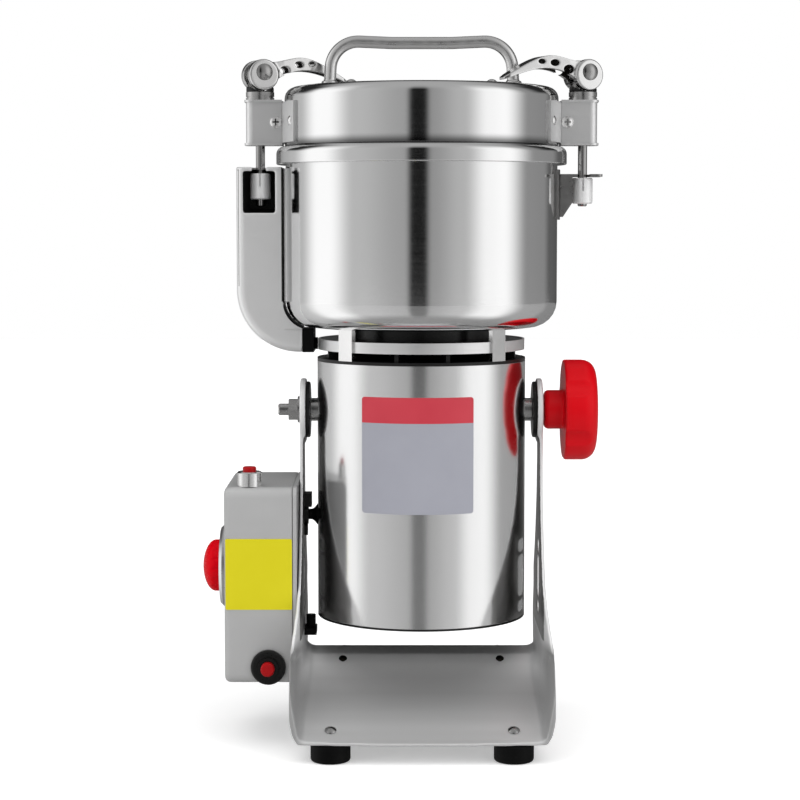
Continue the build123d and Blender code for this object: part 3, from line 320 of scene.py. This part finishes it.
def rounded(corners):
    """A closed outline from corners (a, b) or (a, b, radius), with an arc at each corner that has a radius."""
    points = []
    for i, corner in enumerate(corners):
        q = Vector(corner[:2])
        r = corner[2] if len(corner) > 2 else 0.0
        if r <= 0:
            points.append(q)
            continue
        before = (Vector(corners[i - 1][:2]) - q).normalized()
        after = (Vector(corners[(i + 1) % len(corners)][:2]) - q).normalized()
        half = before.angle(after) / 2
        centre = q + (before + after).normalized() * r / math.sin(half)
        start = q + before * r / math.tan(half) - centre
        turn = math.pi - 2 * half
        if start.cross(after) < 0:
            turn = -turn
        count = max(2, round(abs(turn) / (math.pi / 2) * ARC_STEPS))
        for k in range(count + 1):
            points.append(centre + Matrix.Rotation(turn * k / count, 2) @ start)
    return points


def replace_turned(node, name, corners, mat):
    """Turns a closed outline of (radius, height) corners about Z, and puts the piece in a node's place."""
    bm = bmesh.new()
    rings = []
    for r, z in rounded(corners):
        if r < 1e-6:
            rings.append([bm.verts.new((0, 0, z))] * TURN_STEPS)
        else:
            angles = [2 * math.pi * k / TURN_STEPS for k in range(TURN_STEPS)]
            rings.append([bm.verts.new((r * math.cos(a), r * math.sin(a), z)) for a in angles])
    for a, b in zip(rings, rings[1:] + rings[:1]):
        for k in range(TURN_STEPS):
            next_k = (k + 1) % TURN_STEPS
            face = list(dict.fromkeys([a[k], a[next_k], b[next_k], b[k]]))
            if len(face) > 2:
                bm.faces.new(face)
    piece = from_bmesh(name, bm, mat, BODY[node])
    weigh = piece.modifiers.new("flat faces", "WEIGHTED_NORMAL")
    weigh.keep_sharp = True
    weigh.weight = 80
    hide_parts(node)


def add_blocks(mesh, blocks):
    """Adds blocks, each given by its eight corners in mm, to a mesh."""
    bm = bmesh.new()
    bm.from_mesh(mesh)
    for corners in blocks:
        block = bmesh.ops.convex_hull(bm, input=[bm.verts.new(Vector(c) * MM) for c in corners])
        bmesh.ops.recalc_face_normals(bm, faces=[g for g in block["geom"] if isinstance(g, bmesh.types.BMFace)])
    bm.to_mesh(mesh)
    bm.free()


def keep_faces(mesh, keep):
    """Keeps the faces whose middle, in mm, passes the test."""
    bm = bmesh.new()
    bm.from_mesh(mesh)
    bmesh.ops.remove_doubles(bm, verts=bm.verts, dist=1e-6)
    bmesh.ops.delete(bm, geom=[f for f in bm.faces if not keep(f.calc_center_median() / MM)], context="FACES")
    bm.to_mesh(mesh)
    bm.free()


def soft_form(node, voxel, passes, mat=None, keep=None, close=0.0, blocks=()):
    """A node's shape as cast, moulded or pressed: evened out and with its edges softened (sizes in mm).
    Gaps narrower than twice close are filled, as by a pressed fillet, and blocks are joined on."""
    source = nodes[node].data.copy()
    if blocks:
        add_blocks(source, blocks)
    if keep:
        keep_faces(source, keep)
    obj = bpy.data.objects.new("source", source)
    scene.collection.objects.link(obj)

    def even_out():
        even = obj.modifiers.new("even", "REMESH")
        even.mode = "VOXEL"
        even.voxel_size = voxel * MM

    def grow(by):
        swell = obj.modifiers.new("grow", "DISPLACE")
        swell.mid_level = 0.0
        swell.strength = by * MM

    even_out()
    if close:
        grow(close)
        even_out()
        grow(-close)
    soften = obj.modifiers.new("soften", "SMOOTH")
    soften.factor = 0.5
    soften.iterations = passes
    mesh = bpy.data.meshes.new_from_object(obj.evaluated_get(bpy.context.evaluated_depsgraph_get()))
    bpy.data.objects.remove(obj)
    return place_mesh(node + "_form", mesh, mat or SLOT[node], BODY[node], sharp=None)


def replace_soft(node, voxel, passes, mat=None, close=0.0, blocks=()):
    """Puts a node's soft form in its place."""
    piece = soft_form(node, voxel, passes, mat, close=close, blocks=blocks)
    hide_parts(node)
    return piece


def second_finish(obj, mat, test):
    """Gives the faces for which test(middle in mm, normal) holds a finish of their own."""
    obj.data.materials.append(M[mat])
    for face in obj.data.polygons:
        face.material_index = 1 if test(face.center / MM, face.normal) else 0


def panel(name, mat, body, slot, place, width, z0, z1, corner, thick, rounds=(1, 1)):
    """A thin plate laid on a surface by place(along, height, out). Its lower and its upper corners are rounded
    where rounds has 1."""
    bm = bmesh.new()
    columns = []
    for i in range(PANEL_COLUMNS + 1):
        along = width * 0.5 * (1 - math.cos(math.pi * i / PANEL_COLUMNS))
        edge = min(along, width - along)
        cut = corner - math.sqrt(max(corner ** 2 - (corner - edge) ** 2, 0.0)) if edge < corner else 0.0
        low, high = z0 + cut * rounds[0], z1 - cut * rounds[1]
        columns.append([bm.verts.new(place(along, z, out))
                        for z, out in ((low, 0), (low, thick), (high, thick), (high, 0))])
    for a, b in zip(columns, columns[1:]):
        for k in range(4):
            bm.faces.new((a[k], a[(k + 1) % 4], b[(k + 1) % 4], b[k]))
    bm.faces.new(columns[0])
    bm.faces.new(reversed(columns[-1]))
    from_bmesh(name, bm, mat, body, sharp=50)


# ---------------------------------------------------------------- CAD pieces that stay
def finish_cad_nodes():
    """Smooth shading between sharp edges, and the finish of each node's slot."""
    for node, obj in nodes.items():
        obj.data.shade_smooth()
        obj.data.set_sharp_from_angle(angle=math.radians(28))
        obj.data.materials.clear()
        obj.data.materials.append(M[SLOT[node]])


finish_cad_nodes()


# ---------------------------------------------------------------- bowl, rim, lid and barrel
BOWL_CORNER = 14.0           # outer radius of the bowl's bottom corner
CUT_EDGE = 0.3               # round of a cut sheet edge


def make_bowl():
    wall, hole = 1.0, 10.0
    low, high = box_mm("bowl")
    r = high.x
    replace_turned("bowl", "bowl_shell", (
        (hole, low.z), (r, low.z, BOWL_CORNER), (r, high.z, CUT_EDGE), (r - wall, high.z, CUT_EDGE),
        (r - wall, low.z + wall, BOWL_CORNER - wall), (hole, low.z + wall)), "polished_steel")


def make_rim():
    lip, lip_sheet = 3.0, 1.2        # the lip reaches inwards over the bowl's edge
    low, high = box_mm("bowl_rim")
    inner, r = box_mm("bowl")[1].x, high.x
    replace_turned("bowl_rim", "rim_ring", (
        (inner, low.z), (r, low.z, 0.7), (r, high.z, 4.0), (inner - lip, high.z, 0.5),
        (inner - lip, high.z - lip_sheet), (inner, high.z - lip_sheet)), "polished_steel")


def make_lid():
    wall, corner, crown = 1.0, 6.0, 1.2
    low, high = box_mm("lid")
    r, top = high.x, high.z - crown

    def crowned(inset):
        """The crowned top from the middle to where the corner starts."""
        return [((r - corner) * t, top - inset + crown * (1 - t * t)) for t in [i / 8 for i in range(9)]]

    outline = [(r, low.z, 0.9), (r, top, corner)] + crowned(0)[-2::-1]
    outline += crowned(wall)[:-1] + [(r - wall, top - wall, corner - wall), (r - wall, low.z, 0.2)]
    replace_turned("lid", "lid_shell", outline, "lid_steel")


def make_barrel():
    wall = 1.2
    low, high = box_mm("barrel_shell")
    r = high.x
    replace_turned("barrel_shell", "barrel_tube", (
        (r - wall, low.z), (r, low.z, CUT_EDGE), (r, high.z, CUT_EDGE), (r - wall, high.z)), "barrel_steel")


make_bowl()
make_rim()
make_lid()
make_barrel()


# ---------------------------------------------------------------- cast, moulded and pressed pieces
for plain_node, plain_voxel, plain_passes in (
        ("timer_knob", 0.4, 3), ("clamp_saddles", 0.36, 3), ("feet", 0.6, 4), ("control_box", 0.8, 4),
        ("friction_washers", 0.45, 2)):
    replace_soft(plain_node, plain_voxel, plain_passes)
replace_soft("handle", 0.4, 6, "handle_steel")
replace_soft("lock_knob", 0.55, 5, "knob_red")

STAND_FLARE, STAND_SHEET = 3.4, 2.0      # how far the side panels flare out at their ends, and their thickness


def crease_blocks():
    """Webs along the crease, which join each side panel to the upright above it."""
    half = box_mm("stand")[1].x
    flat_end, reach = 41.0, 25.0         # the panels flare from flat_end on, over reach
    z_low, z_high = 52.0, 57.8
    stations = (38.0, 42.0, 46.0, 50.0, 54.0, 58.0)
    blocks = []
    for near, far in zip(stations, stations[1:]):
        for sx in (-1, 1):
            for sy in (-1, 1):
                corners = []
                for y in (near, far):
                    out = half - STAND_FLARE + STAND_FLARE * max(y - flat_end, 0) / reach
                    corners += [(sx * x, sy * y, z) for x in (out - STAND_SHEET, out) for z in (z_low, z_high)]
                blocks.append(corners)
    return blocks


def make_stand():
    """The uprights' flat inner faces are painted dark: painted shade, which the barrel also mirrors."""
    piece = replace_soft("stand", 0.9, 10, close=1.2, blocks=crease_blocks())
    inner = box_mm("stand")[1].x - STAND_FLARE - STAND_SHEET + 0.7
    second_finish(piece, "stand_inner_shade", lambda at, normal:
                  abs(at.x) < inner and at.z > 60 and normal.x * at.x < -0.7 * abs(at.x))


def make_casing():
    """Bright outside; painted shade inside and in the narrow gap beside the bowl."""
    piece = replace_soft("switch_casing", 0.6, 5, "casing_steel")
    low, high = box_mm("switch_casing")
    bowl_r = box_mm("bowl")[1].x
    skin, gap = 1.1, 2.9
    inside_from, beside_from = low.z + 36.0, low.z + 27.0        # both lie above the elbow's bend

    # painted shade: the casing's inside, and its faces close beside the bowl
    def dark(at, normal):
        inside = (low.x + skin < at.x and low.y + skin < at.y < high.y - skin
                  and inside_from < at.z < high.z - skin)
        return inside or math.hypot(at.x, at.y) < bowl_r + gap and at.z > beside_from

    second_finish(piece, "casing_shade", dark)


def make_casing_corner():
    """The casing's inner corner, which follows the rounded edge of the bowl's bottom."""
    gap, beyond = 1.3, 1.9               # clear of the bowl's corner, and out past its wall
    above_bottom, inset = 12.4, 0.2      # its lower face above the casing's, and its ends inside the casing's
    steps = 12
    bowl_low, bowl_high = box_mm("bowl")
    low, high = box_mm("switch_casing")
    centre_x, centre_z = BOWL_CORNER - bowl_high.x, bowl_low.z + BOWL_CORNER
    reach = BOWL_CORNER + gap
    outer, inner, bottom = -bowl_high.x - beyond, high.x - inset, low.z + above_bottom
    last = math.acos((centre_x - inner) / reach)
    outline = [(outer, centre_z), (outer, bottom), (inner, bottom)]
    outline += [(centre_x - reach * math.cos(a), centre_z - reach * math.sin(a))
                for a in [last * (1 - i / steps) for i in range(steps + 1)]]
    bm = bmesh.new()
    front, back = [[bm.verts.new((x, y, z)) for x, z in outline] for y in (low.y - 0.02, high.y - inset)]
    bm.faces.new(front)
    bm.faces.new(reversed(back))
    for i in range(len(outline)):
        k = (i + 1) % len(outline)
        bm.faces.new((front[i], back[i], back[k], front[k]))
    piece = from_bmesh("casing_corner", bm, "casing_steel", "barrel")
    # painted shade on the faces that do not face the front, in the gap beside the bowl
    second_finish(piece, "casing_shade", lambda at, normal: abs(normal.y) < 0.5)


LEVER_PIN_X, LEVER_PIN_Z = 87.8, 363.6       # how far out and how high the levers' pins are
# Each hole: its middle along the lever and above the pin, then half its length and half its height.
LEVER_HOLES = ((12.3, 1.2, 3.5, 2.8), (20.6, 4.5, 3.1, 2.2), (28.3, 5.0, 2.6, 1.8))


def make_lever(node, side, yaw):
    """Polished outside; dark with painted shade in the hollow below and in the right lever's three holes."""
    piece = replace_soft(node, 0.34, 8, close=0.5)
    turn = Matrix.Rotation(-math.radians(yaw), 3, "Z")
    pin = Vector((side * LEVER_PIN_X, 0, LEVER_PIN_Z))

    # painted shade: the hollow under the arm, and the right lever's holes
    def dark(at, normal):
        x, y, z = turn @ (at - pin)
        facing = abs((turn @ normal).y)
        if 4.0 < x < 46 and abs(y) < 3.3 and (facing > 0.5 or normal.z < -0.5):
            return True
        return side > 0 and facing < 0.6 and any(
            ((x - hole_x) / a) ** 2 + ((z - hole_z) / b) ** 2 < 1 for hole_x, hole_z, a, b in LEVER_HOLES)

    second_finish(piece, "lever_shade", dark)


def make_base_screws():
    """The screws of the ridge are black, those of the feet are plated."""
    split_z = 30.0
    ridge = soft_form("base_screws", 0.25, 2, "dark_screw", keep=lambda c: c.z > split_z)
    front = soft_form("base_screws", 0.25, 2, "zinc", keep=lambda c: c.z <= split_z)
    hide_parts("base_screws")
    ridge.name = "ridge_screws"


make_stand()
make_casing()
make_casing_corner()
make_lever("right_lever", 1, 205.0)
make_lever("left_lever", -1, 22.0)
for plain_node, finish in (
        ("right_nut", "nut_steel"), ("left_nut", "nut_steel"), ("clamp_straps", "brushed_steel"),
        ("right_rod", "rod_steel"), ("left_rod", "rod_steel"), ("clamp_screws", "nickel"),
        ("reset_button", "button_red"), ("power_button", "button_red")):
    nodes[plain_node].data.materials[0] = M[finish]
second_finish(nodes["hook_brackets"], "hook_steel", lambda at, normal: at.x > 0)
make_base_screws()


# ---------------------------------------------------------------- motor lead
LEAD_R = 2.9
LEAD_BEND = (-62.95, -61.45)     # the stretch of close rings, in the gap between upright and barrel
LEAD_RINGS = 60                  # in the bend
LEAD_SHEAR = 0.5                 # the rings lean by this share of their height, so that the bend stays thick
LEAD_BOOT = ((-60.2, 2.95), (-59.4, 3.3), (-58.6, 4.0), (-57.8, 5.0), (-57.2, 5.8), (-56.7, 5.8),
             (-56.6, LEAD_R))    # the flared boot at the barrel, as (x, radius)


def make_motor_lead():
    """The lead from the stand to the barrel, straight, with close leaning rings in the gap between them."""
    low, high = box_mm("motor_lead")
    mid_z = (low.z + high.z) / 2
    bend_from, bend_to = LEAD_BEND
    profile = [(low.x, LEAD_R), (-66.0, LEAD_R)]
    profile += [(bend_from + (bend_to - bend_from) * i / LEAD_RINGS, LEAD_R) for i in range(LEAD_RINGS + 1)]
    profile += [*LEAD_BOOT, (high.x, LEAD_R)]
    steps = 32
    bm = bmesh.new()
    rings = []
    for x, r in profile:
        shear = LEAD_SHEAR if bend_from - 0.01 < x < bend_to + 0.01 else 0.0
        turns = [(r * math.cos(2 * math.pi * k / steps), r * math.sin(2 * math.pi * k / steps))
                 for k in range(steps)]
        rings.append([bm.verts.new((x - shear * y, y, mid_z + z)) for y, z in turns])
    for a, b in zip(rings, rings[1:]):
        for k in range(steps):
            bm.faces.new((a[k], a[(k + 1) % steps], b[(k + 1) % steps], b[k]))
    bm.faces.new(rings[0])
    bm.faces.new(reversed(rings[-1]))
    piece = from_bmesh("lead_cable", bm, "black_rubber", None, sharp=40)
    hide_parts("motor_lead")
    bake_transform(piece)


make_motor_lead()


# ---------------------------------------------------------------- plates without text
LABEL_LEFT, LABEL_RIGHT = -33.8, 28.3        # degrees round the barrel from its front
LABEL_Z = (129.2, 177.2, 190.9)              # lower edge, edge between panel and band, upper edge
STICKER_X, STICKER_Z = (-105.2, -69.5), (75.6, 113.9)
PLATE_GAP = 0.02                             # between a plate and what it is stuck to, or the next plate
LABEL_CORNER, LABEL_THICK = 1.6, 0.18
STICKER_CORNER, STICKER_THICK = 0.8, 0.15


def make_barrel_label():
    """A bare silver panel below a bare red band, on the front of the barrel."""
    r = box_mm("barrel_shell")[1].x
    width = math.radians(LABEL_RIGHT - LABEL_LEFT) * r

    def place(along, z, out):
        a = math.radians(LABEL_LEFT) + along / r
        reach = r + PLATE_GAP + out
        return (reach * math.sin(a), -reach * math.cos(a), z)

    low, mid, high = LABEL_Z
    panel("label_panel", "label_silver", "barrel", "aluminium", place, width, low, mid,
          LABEL_CORNER, LABEL_THICK, (1, 0))
    panel("label_band", "label_red", "barrel", "red_plastic", place, width, mid + PLATE_GAP, high,
          LABEL_CORNER, LABEL_THICK, (0, 1))


def make_box_sticker():
    """A bare yellow sticker low on the front of the control box."""
    front = box_mm("control_box")[0].y

    def place(along, z, out):
        return (STICKER_X[0] + along, front - PLATE_GAP - out, z)

    panel("box_sticker", "sticker", "stand", "box_paint", place, STICKER_X[1] - STICKER_X[0], *STICKER_Z,
          STICKER_CORNER, STICKER_THICK)


make_barrel_label()
make_box_sticker()


# ---------------------------------------------------------------- studio
# The camera stands in front, at the height of the bowl.
CAMERA_AT, CAMERA_DOWN = (-0.0117, -1.190, 0.283), 4.7       # place, and degrees that it looks down
FOCAL_PIXELS, FRAME_PIXELS = 2170.0, 800.0

# What polished walls mirror, as (degrees from behind the camera, + to the right; strength): a narrow black flag
# between two pale walls, a tall soft light at either side, and the dark behind the object.
ROOM = ((-180, 0.08), (-157, 0.16), (-136, 0.44), (-122, 0.52), (-97, 1.12), (-84, 1.12), (-58, 0.53),
        (-14, 0.38), (-8, 0.01), (2, 0.01), (8, 0.33), (34, 0.50), (57, 1.06), (72, 1.12), (100, 0.28),
        (124, 0.26), (138, 0.11), (180, 0.07))
# Heights are the upward part of the direction, from -1 straight down to 1 straight up.
ROOF_START, ROOF_FULL, ROOF = 0.35, 1.0, 0.42                # the room turns into a grey roof
LOW_START, LOW_FULL, LOW = -0.60, -0.90, 0.15                # it darkens towards straight down
SHADE_TURN, SHADE_RISE, SHADE_END = (100, 125), (0.12, 0.34), (0.85, 0.60)   # a dark wall high behind
SHADE = 0.02

FLOOR_CLEAR = 0.8            # share of mirror rays that pass the floor, to the room's bands
FLOOR_GLOW = 0.36            # added where the camera sees the floor, so that it is white round the shadow
FLOOR_SIZE, FLOOR_DROP = 4.0, 0.0002

# Soft fill, as (degrees from the front, elevation, strength).
FILL_LAMPS = ((-24, 32, 0.51), (24, 32, 0.51), (-66, 22, 0.40), (66, 22, 0.40), (0, 80, 1.4))


def add_camera():
    cam = bpy.data.cameras.new("camera")
    cam.sensor_width = 36.0
    cam.lens = cam.sensor_width * FOCAL_PIXELS / FRAME_PIXELS
    cam.clip_end = 30.0
    obj = bpy.data.objects.new("camera", cam)
    scene.collection.objects.link(obj)
    obj.location = CAMERA_AT
    obj.rotation_euler = (math.radians(90 - CAMERA_DOWN), 0, 0)
    scene.camera = obj


def add_floor():
    """A pale floor that keeps the object's shadow, and that mirrors mostly see through."""
    s = Shader("floor")
    s.color(s.tint(s.noise(3.0), grey(0.86), grey(0.88)))
    s.set(Roughness=0.6)
    glow = s.node("ShaderNodeEmission")
    glow.inputs["Strength"].default_value = FLOOR_GLOW
    lit = s.node("ShaderNodeAddShader")
    s.link(s.bsdf.outputs[0], lit.inputs[0])
    s.link(glow.outputs[0], lit.inputs[1])
    path = s.node("ShaderNodeLightPath")
    seen = s.node("ShaderNodeMixShader")
    s.link(path.outputs["Is Camera Ray"], seen.inputs["Fac"])
    s.link(s.bsdf.outputs[0], seen.inputs[1])
    s.link(lit.outputs[0], seen.inputs[2])
    glossy = s.node("ShaderNodeMath", operation="MULTIPLY")
    glossy.inputs[1].default_value = FLOOR_CLEAR
    s.link(path.outputs["Is Glossy Ray"], glossy.inputs[0])
    mix = s.node("ShaderNodeMixShader")
    s.link(glossy.outputs[0], mix.inputs["Fac"])
    s.link(seen.outputs[0], mix.inputs[1])
    s.link(s.node("ShaderNodeBsdfTransparent").outputs[0], mix.inputs[2])
    s.link(mix.outputs[0], s.out.inputs["Surface"])
    bm = bmesh.new()
    bmesh.ops.create_grid(bm, x_segments=2, y_segments=2, size=FLOOR_SIZE)
    floor = from_bmesh("floor", bm, "floor", sharp=None, scale=1.0)
    floor.data.transform(Matrix.Translation((0, 0, -FLOOR_DROP)))


def add_fill_light():
    """Broad soft lamps in front and above, which only light: reflections come from the room."""
    for turn, height, strength in FILL_LAMPS:
        lamp = bpy.data.lights.new("fill", "SUN")
        lamp.energy = strength
        lamp.angle = math.radians(60)
        obj = bpy.data.objects.new("fill", lamp)
        scene.collection.objects.link(obj)
        obj.rotation_euler = (math.radians(90 - height), 0, math.radians(turn))
        obj.visible_glossy = False


def light_room():
    """The world: white for the camera, and for reflections the bands of ROOM round Z under a grey roof."""
    world = bpy.data.worlds.new("studio")
    scene.world = world
    world.use_nodes = True
    tree = world.node_tree
    tree.nodes.clear()
    link = tree.links.new

    def node(kind, **settings):
        n = tree.nodes.new(kind)
        for key, value in settings.items():
            setattr(n, key, value)
        return n

    def math_node(operation, a, b=None):
        """A sum on the socket a and, where it is given, on b, a socket or a number."""
        m = node("ShaderNodeMath", operation=operation)
        link(a, m.inputs[0])
        if isinstance(b, float):
            m.inputs[1].default_value = b
        elif b is not None:
            link(b, m.inputs[1])
        return m.outputs[0]

    def ease(value, a, b):
        """Rises softly from 0 to 1 as the value goes from a to b."""
        m = node("ShaderNodeMapRange", interpolation_type="SMOOTHSTEP")
        m.inputs["From Min"].default_value = a
        m.inputs["From Max"].default_value = b
        link(value, m.inputs["Value"])
        return m.outputs[0]

    def towards(color, share, level):
        """Mixes a colour towards a grey level."""
        m = node("ShaderNodeMix", data_type="RGBA")
        link(share, m.inputs["Factor"])
        link(color, m.inputs["A"])
        m.inputs["B"].default_value = (*grey(level), 1)
        return m.outputs["Result"]

    split = node("ShaderNodeSeparateXYZ")
    link(node("ShaderNodeTexCoord").outputs["Generated"], split.inputs[0])
    up = split.outputs["Z"]
    turn = math_node("ARCTAN2", split.outputs["X"], math_node("MULTIPLY", split.outputs["Y"], -1.0))
    place = node("ShaderNodeMapRange")
    place.inputs["From Min"].default_value = -math.pi
    place.inputs["From Max"].default_value = math.pi
    link(turn, place.inputs["Value"])
    bands = node("ShaderNodeValToRGB")
    bands.color_ramp.interpolation = "EASE"
    color_ramp(bands, [(0.5 + angle / 360.0, strength) for angle, strength in ROOM])
    link(place.outputs[0], bands.inputs["Fac"])

    color = towards(bands.outputs["Color"], ease(up, ROOF_START, ROOF_FULL), ROOF)
    behind = ease(math_node("ABSOLUTE", turn), *[math.radians(v) for v in SHADE_TURN])
    high = math_node("MULTIPLY", ease(up, *SHADE_RISE), ease(up, *SHADE_END))
    color = towards(color, math_node("MULTIPLY", behind, high), SHADE)
    color = towards(color, ease(up, LOW_START, LOW_FULL), LOW)
    room = node("ShaderNodeBackground")
    link(color, room.inputs["Color"])
    white = node("ShaderNodeBackground")
    white.inputs["Color"].default_value = (1, 1, 1, 1)
    mix = node("ShaderNodeMixShader")
    link(node("ShaderNodeLightPath").outputs["Is Camera Ray"], mix.inputs["Fac"])
    link(room.outputs[0], mix.inputs[1])
    link(white.outputs[0], mix.inputs[2])
    link(mix.outputs[0], node("ShaderNodeOutputWorld").inputs["Surface"])


add_camera()
add_floor()
add_fill_light()
light_room()
